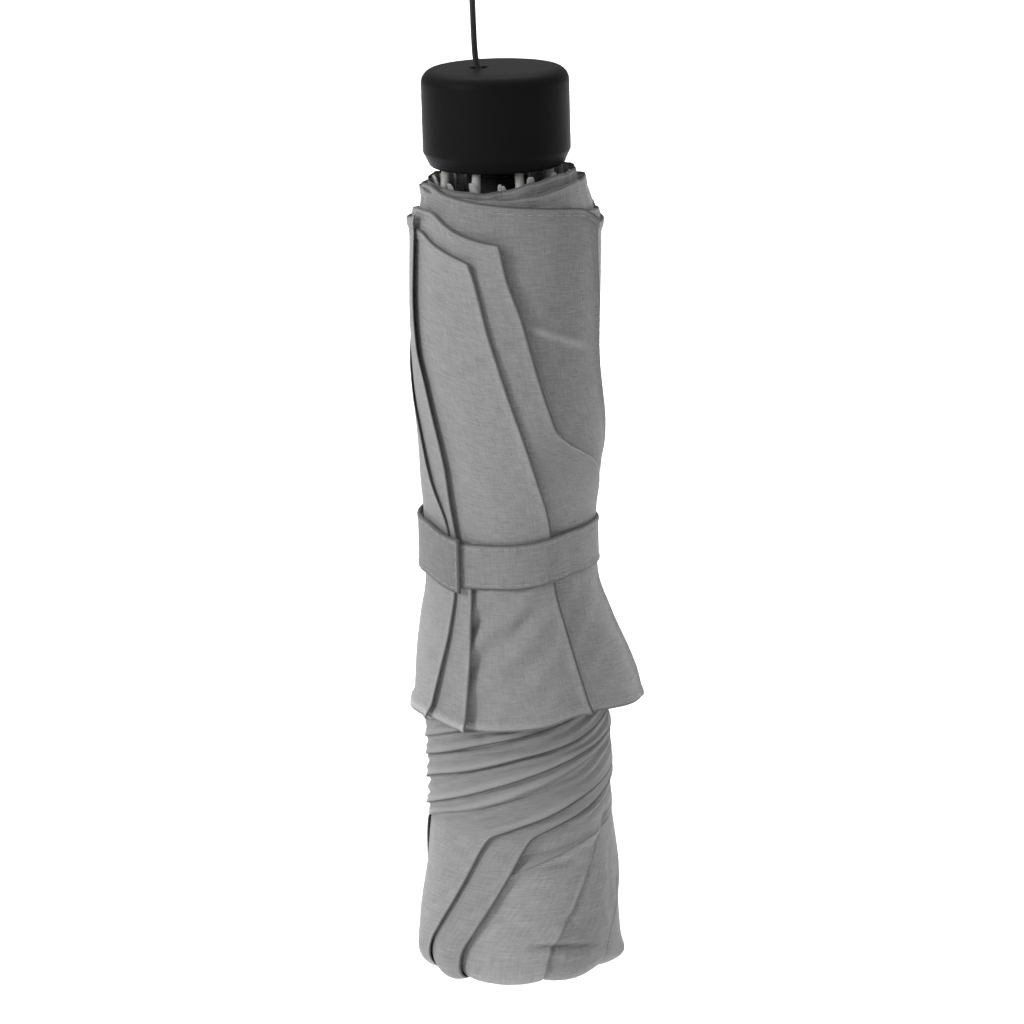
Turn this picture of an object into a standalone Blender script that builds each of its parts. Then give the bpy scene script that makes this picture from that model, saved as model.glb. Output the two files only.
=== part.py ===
"""A compact folding umbrella: closed, wrapped in its canopy, strapped, and hanging handle up from its wrist cord.

Metres, +Z up. The origin is the top of the cord's loop, where a hook holds the umbrella.
The shaft is three nested tubes. The lower one is fixed in the handle, and the upper one carries the frame and canopy.
"""

import math

import bmesh
import bpy
from mathutils import Vector
from mathutils.geometry import interpolate_bezier

# Where the umbrella's own axis stands beside the point that it hangs from
AXIS_X = 0.006

# Heights of the closed umbrella, from the handle's end face down to the crown's end
HANDLE_TOP = -0.068
HANDLE_HEIGHT = 0.025
CLOSED_LENGTH = 0.240
HANDLE_BOTTOM = HANDLE_TOP - HANDLE_HEIGHT
CROWN_END = HANDLE_TOP - CLOSED_LENGTH
GAP = 0.0003

# Handle
HANDLE_RADIUS = 0.019
HANDLE_WALL = 0.0022
HANDLE_ROUND = 0.0035
HANDLE_INNER_RADIUS = 0.016
HUB_TOP = HANDLE_TOP - 0.010
HUB_BOTTOM = HANDLE_BOTTOM + 0.0035
HUB_FLANGE = 0.003

# Shaft tubes: outer radius, and the height of each end
TUBE_WALL = 0.0005
LOWER_TUBE = (0.0047, HUB_TOP - 0.0018, -0.243)
MIDDLE_TUBE = (0.0056, HUB_BOTTOM - 0.0010, -0.256)
UPPER_TUBE = (0.0065, HUB_BOTTOM - 0.0020, -0.2975)
TUBE_SIDES = 28

# Spring catches: the height of each nub
LOWER_CATCH_Z = -0.236
MIDDLE_CATCH_Z = -0.2515
RUNNER_CATCH_Z = -0.271
CATCH_WIDTH = 0.002
CATCH_LEAF = 0.00045
NUB_HEIGHT = 0.002

# Frame: eight ribs, each folded in three, with a stretcher to the runner
RIB_COUNT = 8
RUNNER_TOP = -0.0955
RUNNER_FLANGE_TOP = -0.1115
RUNNER_BOTTOM = -0.119
NOTCH_TOP = -0.287
NOTCH_BOTTOM = -0.3005
TIP_LENGTH = 0.0135

# Wrapped canopy: outer outline as (radius, height), from its rims at the handle to the crown
CANOPY_OUTLINE = (
    (0.0188, -0.0965),
    (0.0205, -0.0968),
    (0.0228, -0.1005),
    (0.0250, -0.1065),
    (0.0254, -0.1275),
    (0.0243, -0.1565),
    (0.0232, -0.1800),
    (0.0224, -0.1863),
    (0.0224, -0.1993),
    (0.0240, -0.2137),
    (0.0262, -0.2316),
    (0.0246, -0.2350),
    (0.0240, -0.2405),
    (0.0244, -0.2605),
    (0.0256, -0.2822),
    (0.0260, -0.2970),
    (0.0242, -0.3045),
    (0.0200, -0.3055),
    (0.0032, -0.3055),
)
CANOPY_INNER_RADIUS = 0.0183
CANOPY_FLOOR = -0.3015
SKIRT_CORNER = 0.009
SKIRT_HEM = -0.2321

# Tie strap round the canopy, and its free end
STRAP_HEIGHT = 0.012
STRAP_Z = -0.1928
STRAP_INNER_RADIUS = 0.02275
STRAP_THICKNESS = 0.0008
TAB_INNER_RADIUS = 0.0239
TAB_THICKNESS = 0.0009
TAB_HINGE_ANGLE = math.radians(175)
TAB_END_ANGLE = math.radians(239)

# Wrist cord: both strands leave one hole, and the loop's top is the origin
CORD_RADIUS = 0.00075
CORD_STEP = 0.0037
CORD_HOLE_X = AXIS_X - 0.0040
CORD_HOLE_RADIUS = 0.0026
FRONT_STRAND = (
    (0.0022, -0.0012, -0.0712),
    (0.0020, -0.0012, -0.0684),
    (0.0013, -0.0013, -0.0660),
    (0.0010, -0.0015, -0.0610),
    (0.0008, -0.0020, -0.0480),
    (0.0005, -0.0026, -0.0320),
    (0.0002, -0.0031, -0.0160),
    (0.0000, -0.0034, -0.0034),
    (0.0000, -0.0024, -0.0010),
)
LOOP_TOP = (0.0, 0.0, 0.0)


def remove_all_objects():
    for obj in list(bpy.data.objects):
        bpy.data.objects.remove(obj)


def new_collection(name):
    collection = bpy.data.collections.new(name)
    bpy.context.scene.collection.children.link(collection)
    return collection


def make_material(name, colour, roughness, metallic=0.0):
    material = bpy.data.materials.new(name)
    material.use_nodes = True
    shader = material.node_tree.nodes["Principled BSDF"]
    shader.inputs["Base Color"].default_value = (*colour, 1)
    shader.inputs["Roughness"].default_value = roughness
    shader.inputs["Metallic"].default_value = metallic
    return material


def link(name, data, material, location=(0, 0, 0), turn=0.0):
    """A part on the umbrella's axis, turned about it. Its location is measured from the axis."""
    obj = bpy.data.objects.new(name, data)
    obj.parent = axis
    obj.location = location
    obj.rotation_euler.z = turn
    data.materials.append(material)
    parts.objects.link(obj)
    return obj


def as_cutter(obj):
    for collection in list(obj.users_collection):
        collection.objects.unlink(obj)
    cutters.objects.link(obj)
    obj.hide_render = True
    obj.display_type = "WIRE"
    return obj


def cut(obj, cutter):
    boolean = obj.modifiers.new("cut_" + cutter.name, "BOOLEAN")
    boolean.operation = "DIFFERENCE"
    boolean.solver = "EXACT"
    boolean.object = cutter


def turned(name, profile, material, sides=TUBE_SIDES, closed=False):
    """A Screw of (radius, height) points, which run down the outer side."""
    mesh = bpy.data.meshes.new(name)
    count = len(profile)
    edges = [(i, (i + 1) % count) for i in range(count if closed else count - 1)]
    mesh.from_pydata([(radius, 0, z) for radius, z in profile], edges, [])
    obj = link(name, mesh, material)
    screw = obj.modifiers.new("turn", "SCREW")
    screw.steps = sides
    screw.render_steps = sides
    screw.use_merge_vertices = True
    screw.merge_threshold = 0.00001
    screw.use_smooth_shade = False
    return obj


def cylinder(name, radius, length, material, location, sides=16, axis_up=(0, 0, 1), end_radius=None):
    """A round bar centred on location, along axis_up. end_radius makes it taper to that end."""
    bm = bmesh.new()
    bmesh.ops.create_cone(
        bm,
        cap_ends=True,
        segments=sides,
        radius1=radius,
        radius2=radius if end_radius is None else end_radius,
        depth=length,
    )
    spin = Vector((0, 0, 1)).rotation_difference(Vector(axis_up)).to_matrix()
    bmesh.ops.rotate(bm, verts=bm.verts, cent=(0, 0, 0), matrix=spin)
    mesh = bpy.data.meshes.new(name)
    bm.to_mesh(mesh)
    bm.free()
    return link(name, mesh, material, location)


def box(name, size, material, location, turn=0.0):
    bm = bmesh.new()
    bmesh.ops.create_cube(bm, size=1)
    bmesh.ops.scale(bm, verts=bm.verts, vec=size)
    mesh = bpy.data.meshes.new(name)
    bm.to_mesh(mesh)
    bm.free()
    return link(name, mesh, material, location, turn)


def extruded(name, outline, height, material, location, turn=0.0):
    """A flat outline in X and Y, extruded along Z and centred on location."""
    curve = bpy.data.curves.new(name, "CURVE")
    curve.dimensions = "2D"
    curve.fill_mode = "BOTH"
    curve.extrude = height / 2
    spline = curve.splines.new("POLY")
    spline.points.add(len(outline) - 1)
    for point, (x, y) in zip(spline.points, outline):
        point.co = (x, y, 0, 1)
    spline.use_cyclic_u = True
    return link(name, curve, material, location, turn)


def around(radius, angle, z):
    return (radius * math.cos(angle), radius * math.sin(angle), z)


def rib_angles():
    return [2 * math.pi * (i + 0.5) / RIB_COUNT for i in range(RIB_COUNT)]


def make_handle():
    """A cup whose closed end is up, a hub that fills its mouth, and the screw that holds the lower tube."""
    corner = [
        (
            HANDLE_RADIUS - HANDLE_ROUND * (1 - math.sin(t)),
            HANDLE_TOP - HANDLE_ROUND * (1 - math.cos(t)),
        )
        for t in (math.radians(angle) for angle in range(0, 91, 15))
    ]
    shell = turned(
        "handle_shell",
        [
            (0, HANDLE_TOP),
            *corner,
            (HANDLE_RADIUS, HANDLE_BOTTOM + 0.0026),
            (HANDLE_RADIUS - 0.0020, HANDLE_BOTTOM),
            (HANDLE_INNER_RADIUS, HANDLE_BOTTOM),
            (HANDLE_INNER_RADIUS, HANDLE_TOP - HANDLE_WALL),
            (0, HANDLE_TOP - HANDLE_WALL),
        ],
        black_plastic,
        sides=40,
    )
    hole = cylinder(
        "cord_hole",
        CORD_HOLE_RADIUS,
        0.008,
        black_plastic,
        (CORD_HOLE_X - AXIS_X, 0, HANDLE_TOP),
    )
    cut(shell, as_cutter(hole))

    flange_radius = HANDLE_INNER_RADIUS - GAP
    bore = LOWER_TUBE[0] + GAP
    screw_hole = 0.0016
    turned(
        "handle_hub",
        [
            (screw_hole, HUB_TOP),
            (0.0075, HUB_TOP),
            (0.0075, HUB_BOTTOM + HUB_FLANGE),
            (flange_radius, HUB_BOTTOM + HUB_FLANGE),
            (flange_radius, HUB_BOTTOM),
            (bore, HUB_BOTTOM),
            (bore, HUB_TOP - 0.0015),
            (screw_hole, HUB_TOP - 0.0015),
        ],
        black_plastic,
        closed=True,
    )
    head_bottom = HUB_TOP + GAP
    turned(
        "handle_screw",
        [
            (0, head_bottom + 0.0018),
            (0.0018, head_bottom + 0.0018),
            (0.0018, head_bottom),
            (0.0012, head_bottom),
            (0.0012, head_bottom - 0.010),
            (0, head_bottom - 0.0112),
        ],
        steel,
        sides=12,
    )
    plug_radius = LOWER_TUBE[0] - TUBE_WALL - 0.0004
    turned(
        "tube_plug",
        [
            (0.0015, LOWER_TUBE[1] - GAP),
            (plug_radius, LOWER_TUBE[1] - GAP),
            (plug_radius, LOWER_TUBE[1] - 0.0100),
            (0.0015, LOWER_TUBE[1] - 0.0100),
        ],
        black_plastic,
        sides=16,
        closed=True,
    )


def make_tube(name, size):
    radius, top, bottom = size
    inner = radius - TUBE_WALL
    profile = [(radius, top), (radius, bottom), (inner, bottom), (inner, top)]
    return turned(name, profile, steel, closed=True)


def make_catch(name, tube_radius, nub_z, half_length, nub_reach):
    """A hairpin leaf spring inside a tube. Its nub goes out through a window towards +X. nub_reach is its end's radius."""
    leaf = tube_radius - TUBE_WALL - 0.0009
    back = -leaf + 0.0014
    above = half_length
    nub = NUB_HEIGHT / 2
    outline = [
        (back, -above),
        (back, above),
        (leaf, above),
        (leaf, nub),
        (nub_reach, nub),
        (nub_reach, -nub),
        (leaf, -nub),
        (leaf, -above),
        (leaf - CATCH_LEAF, -above),
        (leaf - CATCH_LEAF, above - CATCH_LEAF),
        (back + CATCH_LEAF, above - CATCH_LEAF),
        (back + CATCH_LEAF, -above),
    ]
    catch = extruded(name, outline, CATCH_WIDTH, steel, (0, 0, nub_z))
    catch.rotation_euler.x = math.pi / 2
    return catch


def cut_window(tube, name, tube_radius, z):
    window = cylinder(
        name,
        0.0019,
        0.004,
        steel,
        (tube_radius, 0, z),
        sides=14,
        axis_up=(1, 0, 0),
    )
    cut(tube, as_cutter(window))


def make_shaft():
    lower = make_tube("lower_tube", LOWER_TUBE)
    make_catch("lower_tube_catch", LOWER_TUBE[0], LOWER_CATCH_Z, 0.0060, LOWER_TUBE[0] - 0.0002)
    cut_window(lower, "lower_window", LOWER_TUBE[0], LOWER_CATCH_Z)

    middle = make_tube("middle_tube", MIDDLE_TUBE)
    make_catch("middle_tube_catch", MIDDLE_TUBE[0], MIDDLE_CATCH_Z, 0.0040, MIDDLE_TUBE[0] - 0.0002)
    cut_window(middle, "middle_window", MIDDLE_TUBE[0], MIDDLE_CATCH_Z)

    upper = make_tube("upper_tube", UPPER_TUBE)
    make_catch("runner_catch", UPPER_TUBE[0], RUNNER_CATCH_Z, 0.0080, UPPER_TUBE[0] + 0.0018)
    cut_window(upper, "upper_window", UPPER_TUBE[0], RUNNER_CATCH_Z)


def cut_rib_slots(obj, name, inner, outer, low, high, width):
    """A slot for each rib, as one cutter of boxes that stay clear of each other."""
    bm = bmesh.new()
    for angle in rib_angles():
        cube = bmesh.ops.create_cube(bm, size=1)["verts"]
        bmesh.ops.scale(bm, verts=cube, vec=(outer - inner, width, high - low))
        bmesh.ops.translate(bm, verts=cube, vec=((inner + outer) / 2, 0, (low + high) / 2))
        turn = Vector((1, 0, 0)).rotation_difference(Vector(around(1, angle, 0))).to_matrix()
        bmesh.ops.rotate(bm, verts=cube, cent=(0, 0, 0), matrix=turn)
    mesh = bpy.data.meshes.new(name)
    bm.to_mesh(mesh)
    bm.free()
    cut(obj, as_cutter(link(name, mesh, black_plastic)))


def wire_ring(name, radius, z):
    bpy.ops.mesh.primitive_torus_add(
        major_radius=radius,
        minor_radius=0.0004,
        major_segments=24,
        minor_segments=6,
    )
    made = bpy.context.object
    mesh = made.data
    bpy.data.objects.remove(made)
    mesh.name = name
    return link(name, mesh, steel, (0, 0, z))


def make_runner_and_notch():
    """The two hubs that the ribs and stretchers hang on, each with the wire ring that holds them in its slots."""
    bore = UPPER_TUBE[0] + GAP
    groove = RUNNER_BOTTOM + 0.0035
    runner = turned(
        "runner",
        [
            (0.0080, RUNNER_TOP),
            (0.0080, RUNNER_FLANGE_TOP),
            (0.0104, RUNNER_FLANGE_TOP),
            (0.0104, groove),
            (0.0091, groove),
            (0.0091, groove - 0.0014),
            (0.0104, groove - 0.0014),
            (0.0104, RUNNER_BOTTOM),
            (bore, RUNNER_BOTTOM),
            (bore, RUNNER_TOP),
        ],
        black_plastic,
        closed=True,
    )
    cut_rib_slots(
        runner, "runner_slots", 0.0076, 0.0120, RUNNER_BOTTOM - 0.002, RUNNER_FLANGE_TOP - 0.001, 0.0024
    )
    wire_ring("runner_wire", 0.0098, groove - 0.0007)

    groove = NOTCH_BOTTOM + 0.0070
    notch = turned(
        "top_notch",
        [
            (0.0112, NOTCH_TOP),
            (0.0112, groove),
            (0.0096, groove),
            (0.0096, groove - 0.0014),
            (0.0112, groove - 0.0014),
            (0.0112, NOTCH_BOTTOM),
            (0.0022, NOTCH_BOTTOM),
            (0.0022, UPPER_TUBE[2] - 2 * GAP),
            (bore, UPPER_TUBE[2] - 2 * GAP),
            (bore, NOTCH_TOP),
        ],
        black_plastic,
        closed=True,
    )
    cut_rib_slots(notch, "notch_slots", 0.0090, 0.0130, groove + 0.0008, NOTCH_TOP + 0.001, 0.0036)
    wire_ring("notch_wire", 0.0104, groove - 0.0007)

    cap_face = CANOPY_OUTLINE[-1][1] - GAP
    turned(
        "crown_cap",
        [
            (0, NOTCH_BOTTOM + 0.0018),
            (0.0018, NOTCH_BOTTOM + 0.0018),
            (0.0018, cap_face),
            (0.0065, cap_face),
            (0.0065, CROWN_END + 0.0008),
            (0.0057, CROWN_END),
            (0, CROWN_END),
        ],
        black_plastic,
        sides=24,
    )


def channel_outline(inner, outer, width, opens_inward):
    """A U section between two radii, with walls of 0.5 mm."""
    wall = 0.0005
    middle = (inner + outer) / 2
    depth = (outer - inner) / 2
    side = -1 if opens_inward else 1
    half = width / 2
    points = [
        (side * depth, half),
        (-side * depth, half),
        (-side * depth, -half),
        (side * depth, -half),
        (side * depth, -half + wall),
        (-side * (depth - wall), -half + wall),
        (-side * (depth - wall), half - wall),
        (side * depth, half - wall),
    ]
    return middle, points


def make_rib_set(number, angle):
    """One rib, folded in three along the shaft, with its stretcher and the tip that reaches the handle."""
    tail = f"_{number}"

    low, high = -0.205, RUNNER_FLANGE_TOP - 0.0014
    box(
        "stretcher" + tail,
        (0.0011, 0.0017, high - low),
        steel,
        around(0.00845, angle, (low + high) / 2),
        angle,
    )

    for name, inner, outer, width, low, high, inward in (
        ("primary_rib", 0.0094, 0.0116, 0.0030, -0.2923, -0.1205, True),
        ("middle_rib", 0.0120, 0.0139, 0.0026, -0.2990, -0.1215, False),
    ):
        middle, outline = channel_outline(inner, outer, width, inward)
        place = around(middle, angle, (low + high) / 2)
        extruded(name + tail, outline, high - low, steel, place, angle)

    low, high = -0.2985, HANDLE_BOTTOM - 0.0135
    cylinder(
        "outer_rib" + tail,
        0.0009,
        high - low,
        steel,
        around(0.0152, angle, (low + high) / 2),
        sides=8,
    )

    lean = Vector(around(-0.0018, angle, TIP_LENGTH)).normalized()
    start = Vector(around(0.0157, angle, high + 3 * GAP))
    cylinder(
        "rib_tip" + tail,
        0.0015,
        TIP_LENGTH,
        pale_plastic,
        start + lean * TIP_LENGTH / 2,
        sides=10,
        axis_up=lean,
        end_radius=0.0011,
    )


def pull_skirt_corner(mesh):
    """Draws the skirt out to one soft corner on the +X side, just over its hem."""
    for vertex in mesh.vertices:
        radius = math.hypot(vertex.co.x, vertex.co.y)
        if radius < CANOPY_INNER_RADIUS + 0.001:
            continue
        reach = 0.034 if vertex.co.z > SKIRT_HEM else 0.005
        along = max(0.0, 1 - abs(vertex.co.z - SKIRT_HEM) / reach)
        turn = math.atan2(vertex.co.y, vertex.co.x)
        grow = 1 + SKIRT_CORNER * along * math.exp(-((turn / math.radians(32)) ** 2)) / radius
        vertex.co.x *= grow
        vertex.co.y *= grow


def make_canopy():
    """The wrapped cloth as one soft shell, open at the handle end, where the ribs and shaft go in."""
    inner = [
        (0.0032, CANOPY_FLOOR),
        (CANOPY_INNER_RADIUS, CANOPY_FLOOR),
        (CANOPY_INNER_RADIUS, CANOPY_OUTLINE[0][1]),
    ]
    shape = turned("canopy_shape", [*CANOPY_OUTLINE, *inner], grey_fabric, closed=True, sides=36)
    graph = bpy.context.evaluated_depsgraph_get()
    mesh = bpy.data.meshes.new_from_object(shape.evaluated_get(graph))
    bpy.data.objects.remove(shape)
    mesh.name = "canopy"
    mesh.materials.clear()
    pull_skirt_corner(mesh)
    link("canopy", mesh, grey_fabric)


def make_strap():
    """The strap's band round the canopy, and its free end, which peels about an upright line."""
    top = STRAP_Z + STRAP_HEIGHT / 2
    outer = STRAP_INNER_RADIUS + STRAP_THICKNESS
    turned(
        "tie_strap",
        [
            (outer, top),
            (outer, top - STRAP_HEIGHT),
            (STRAP_INNER_RADIUS, top - STRAP_HEIGHT),
            (STRAP_INNER_RADIUS, top),
        ],
        grey_fabric,
        closed=True,
        sides=36,
    )

    hinge = Vector(around(TAB_INNER_RADIUS + TAB_THICKNESS / 2, TAB_HINGE_ANGLE, STRAP_Z))
    steps = 10
    angles = [TAB_HINGE_ANGLE + (TAB_END_ANGLE - TAB_HINGE_ANGLE) * i / steps for i in range(steps + 1)]
    outside = [Vector(around(TAB_INNER_RADIUS + TAB_THICKNESS, angle, STRAP_Z)) for angle in angles]
    inside = [Vector(around(TAB_INNER_RADIUS, angle, STRAP_Z)) for angle in reversed(angles)]
    outline = [(point - hinge).xy for point in (*outside, *inside)]
    extruded("strap_tab", outline, STRAP_HEIGHT + 0.0006, grey_fabric, hinge)


def cord_route():
    """The loop's own points: up the front strand, over the top, and down the same way behind."""
    back = [(x, -y, z) for x, y, z in reversed(FRONT_STRAND)]
    return [Vector(point) for point in (*FRONT_STRAND, LOOP_TOP, *back)]


def smooth_points(route, step):
    """Points about a step apart on a smooth curve through the route's points."""
    ends = [route[0], *route, route[-1]]
    points = []
    for before, start, end, after in zip(ends, ends[1:], ends[2:], ends[3:]):
        reach = (end - start).length / 3
        leave = start + (end - before).normalized() * reach
        arrive = end - (after - start).normalized() * reach
        count = max(1, round((end - start).length / step))
        points += interpolate_bezier(start, leave, arrive, end, count + 1)[:-1]
    return [*points, route[-1]]


def make_wrist_cord():
    """The cord's free loop, and the knot inside the handle that holds both its ends."""
    curve = bpy.data.curves.new("wrist_cord", "CURVE")
    curve.dimensions = "3D"
    curve.bevel_depth = CORD_RADIUS
    curve.bevel_resolution = 2
    curve.use_fill_caps = True
    points = smooth_points(cord_route(), CORD_STEP)
    spline = curve.splines.new("POLY")
    spline.points.add(len(points) - 1)
    for target, point in zip(spline.points, points):
        target.co = (*point, 1)
    link("wrist_cord", curve, black_cord, (-AXIS_X, 0, 0))

    radius = 0.0024
    bm = bmesh.new()
    bmesh.ops.create_uvsphere(bm, u_segments=12, v_segments=8, radius=radius)
    mesh = bpy.data.meshes.new("cord_knot")
    bm.to_mesh(mesh)
    bm.free()
    knot_top = FRONT_STRAND[0][2] - GAP
    link("cord_knot", mesh, black_cord, (-0.0046, 0, knot_top - radius))


def shade_round_pieces():
    for obj in parts.objects:
        if obj.type == "MESH":
            obj.data.shade_smooth()
            obj.data.set_sharp_from_angle(angle=math.radians(35))


remove_all_objects()
parts = new_collection("folding_umbrella")
cutters = new_collection("cutters")
axis = bpy.data.objects.new("umbrella_axis", None)
axis.location = (AXIS_X, 0, 0)
parts.objects.link(axis)

black_plastic = make_material("black_plastic", (0.013, 0.013, 0.014), 0.45)
pale_plastic = make_material("pale_plastic", (0.62, 0.62, 0.60), 0.4)
steel = make_material("steel", (0.55, 0.55, 0.56), 0.3, metallic=1.0)
grey_fabric = make_material("grey_fabric", (0.34, 0.34, 0.34), 0.85)
black_cord = make_material("black_cord", (0.010, 0.010, 0.011), 0.8)

make_handle()
make_shaft()
make_runner_and_notch()
for index, rib_angle in enumerate(rib_angles(), start=1):
    make_rib_set(index, rib_angle)
make_canopy()
make_strap()
make_wrist_cord()
shade_round_pieces()
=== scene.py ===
"""The looks of a closed, wrapped and strapped folding umbrella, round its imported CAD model.

Lengths are in metres. On the bundle, a place is an angle in degrees (0 at the front, 90 at the right, 180
behind) and a height in millimetres, which is negative below the point that the umbrella hangs from.
"""

import math
from bisect import bisect

import bpy
import numpy as np
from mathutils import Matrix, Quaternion, Vector, noise
from mathutils.geometry import interpolate_bezier


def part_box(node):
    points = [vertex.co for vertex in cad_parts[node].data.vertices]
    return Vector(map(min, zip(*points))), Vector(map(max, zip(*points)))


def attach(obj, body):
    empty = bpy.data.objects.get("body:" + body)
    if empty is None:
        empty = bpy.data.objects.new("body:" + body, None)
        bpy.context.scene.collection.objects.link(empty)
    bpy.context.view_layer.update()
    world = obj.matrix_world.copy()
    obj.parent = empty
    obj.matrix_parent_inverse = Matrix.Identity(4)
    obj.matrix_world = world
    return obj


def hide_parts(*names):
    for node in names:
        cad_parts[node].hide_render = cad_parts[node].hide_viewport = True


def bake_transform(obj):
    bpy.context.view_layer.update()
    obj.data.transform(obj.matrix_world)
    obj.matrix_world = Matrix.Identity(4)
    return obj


MM = 0.001

# Camera: its distance and pitch, how far the hanging umbrella leans in view, and the height and middle of
# what it frames, which lies a little to the right of the shaft
CAMERA_DISTANCE = 1.3
CAMERA_PITCH = math.radians(13.4)
CAMERA_ROLL = math.radians(1.64)
FRAMED_HEIGHT = 0.266
FRAMED_CENTRE_Z = -0.1845
FRAMED_OFFSET_X = 0.0012
SENSOR = 0.036
FLOOR_Z = -0.62

# Cloth. The last two are the painted shade along edges and hems, and the painted highlight along hems, edges
# and the ridges of creases and folds, as shares of its colour.
GREY = (0.36, 0.36, 0.36)
CLOTH_THICKNESS = 0.00022
THREAD_PITCH = 0.00062
SLUB_LENGTH = 0.0042
SLUB_WIDTH = 0.00042
STITCH_LENGTH = 0.0016
STITCH_PITCH = 0.0026
STITCH_HALF_WIDTH = 0.00011
HEM_WIDTH = 2.4
PAINTED_SHADE_TONE = 0.34
PAINTED_HIGHLIGHT_TONE = 1.6

# Plastic's handling marks, as a share of its colour and a haze over it, and the pitch of the cord's braid
MARK_CONTRAST = 0.16
MARK_HAZE = 0.0008
BRAID_PITCH = 0.0009

# The radius at which lengths across the cloth are taken, and the heights of the strap and of the slack cloth
# in the skirt below it, in mm
MEAN_RADIUS = 24
STRAP_HEIGHT = -192.8
SLACK_HEIGHT = -212.8

# Outer radius of the wrapped bundle, and how far its middle lies to the right of the shaft, by height in mm
BUNDLE_RADIUS = (
    (-309.5, 23.8), (-301.4, 26.3), (-291.9, 26.2), (-275.6, 24.9), (-257.5, 24.2), (-242.5, 24.2),
    (-238.0, 25.4), (-235.0, 26.2), (-223.5, 25.4), (-210.6, 23.8), (-200.7, 22.3), (-184.9, 22.3),
    (-172.1, 23.4), (-148.7, 24.0), (-127.5, 24.8), (-107.3, 25.0), (-102.6, 23.6), (-98.7, 22.4),
    (-93.8, 20.6),
)
BUNDLE_OFFSET = (
    (-309.5, 0.2), (-291.9, 0.3), (-275.6, 0.8), (-245.5, 1.2), (-231.4, 0.4), (-200.7, 0.1), (-185.8, 0.2),
    (-166.3, 1.1), (-146.8, 0.6), (-125.6, 1.4), (-106.4, 1.8), (-93.8, 0.7),
)

# The lower part of the roll goes up inside the skirt
ROLL_RADIUS = (
    (-309.5, 23.8), (-299.6, 26.3), (-291.9, 26.2), (-275.6, 24.9), (-257.5, 24.2), (-242.5, 24.2),
    (-235.4, 24.0), (-225.4, 22.8),
)

# Upper flaps, from the outermost at the left round to the back. An edge is a free edge as (height, angle), a
# hem is a top hem as (angle, height), and a span is how far the flap runs back from its free edge in degrees.
# The skirt's hem, as (angle, height), is the lower hem of them all.
SKIRT_HEM = (
    (-150, -235.0), (-60, -234.3), (-24, -236.7), (14, -235.9), (40, -234.0), (92, -235.8), (150, -235.6),
)
UPPER_FLAPS = {
    "flap_left_outer": {
        "edge": ((-234.8, -52.5), (-220.9, -44.6), (-209, -39), (-199.1, -37.5), (-185.3, -42),
                 (-170.5, -58), (-155.8, -73), (-147.1, -83), (-142.3, -91), (-134.6, -104), (-121.2, -118),
                 (-106, -124)),
        "hem": ((-235, -103), (-160, -106.2), (-124, -106.7)),
        "span": 120,
        "tone": 1.02,
    },
    "flap_left": {
        "edge": ((-237.1, -27.5), (-214.2, -24.5), (-200.3, -25), (-186.3, -35.5), (-168.7, -43),
                 (-147.2, -55), (-137.5, -62), (-123.1, -66), (-103.1, -64.5)),
        "hem": ((-190, -104.6), (-130, -106.6), (-92, -106.2), (-78, -104.9), (-64, -103.6)),
        "span": 120,
        "tone": 1.0,
    },
    "flap_front": {
        "edge": ((-236, 46.5), (-230, 44), (-219, 38.5), (-208, 33.5), (-198.1, 30), (-185.2, 27.8),
                 (-169.4, 15), (-154.7, 5.3), (-141.9, -3.3), (-131.2, -11), (-120.6, -17), (-113.8, -21)),
        "hem": ((-140, -108.9), (-90, -108.2), (-64, -107.3), (-45, -110.2), (-32, -112.3), (-21, -114)),
        "span": 118,
        "tone": 1.03,
    },
    "flap_front_under": {
        "edge": ((-236.3, 98), (-224.3, 93), (-212.4, 90), (-201.5, 89), (-186.7, 88), (-179.8, 85),
                 (-173.4, 76), (-168.4, 63), (-165.4, 50), (-162.3, 37), (-158.9, 30), (-153.9, 26),
                 (-144.1, 19.2), (-134.4, 12.5), (-127.6, 7.7), (-117.9, 0), (-109.2, -4)),
        "hem": ((-125, -105.5), (-90, -103.6), (-70, -102.3), (-54.5, -102.2), (-38.4, -104.8),
                (-26.5, -106.9), (-14.2, -108.4), (-4, -109.2)),
        "span": 122,
        "tone": 0.97,
    },
    "flap_right": {
        "edge": ((-236, 138), (-200, 128), (-186, 122), (-171, 104), (-160, 90), (-151, 80), (-137, 72),
                 (-122, 67), (-105.8, 64)),
        "hem": ((-97, -98.1), (-68, -96.3), (-37.5, -98.1), (-3.5, -99.8), (26.3, -101.1), (54, -102.6),
                (60, -104), (64, -105.8)),
        "span": 165,
        # This flap's lower tone is painted shade, on the side turned away from the key light.
        "tone": 0.85,
    },
    "flap_back_right": {
        "edge": ((-236.5, 176), (-200.9, 164), (-186.2, 158), (-147.3, 137), (-107.8, 118)),
        "hem": ((0, -102.6), (66, -106.3), (80, -107.6), (118, -107.7)),
        "span": 120,
        "tone": 1.1,
    },
    "flap_back": {
        "edge": ((-235, 211), (-200.3, 202), (-185.6, 198), (-146.8, 183), (-107.5, 168)),
        "hem": ((50, -103), (115, -106.1), (140, -107.3), (170, -107.6)),
        "span": 120,
        "tone": 1.0,
    },
    "flap_back_left": {
        "edge": ((-234.7, 246), (-199.9, 241), (-185.1, 239), (-146.3, 226), (-107.1, 210)),
        "hem": ((90, -103.1), (160, -105.6), (185, -106.7), (212, -107.1)),
        "span": 120,
        "tone": 1.01,
    },
}
# About where the flaps start and how long they are, in mm
FLAP_TOP = -106
FLAP_LENGTH = 128.6
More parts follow.
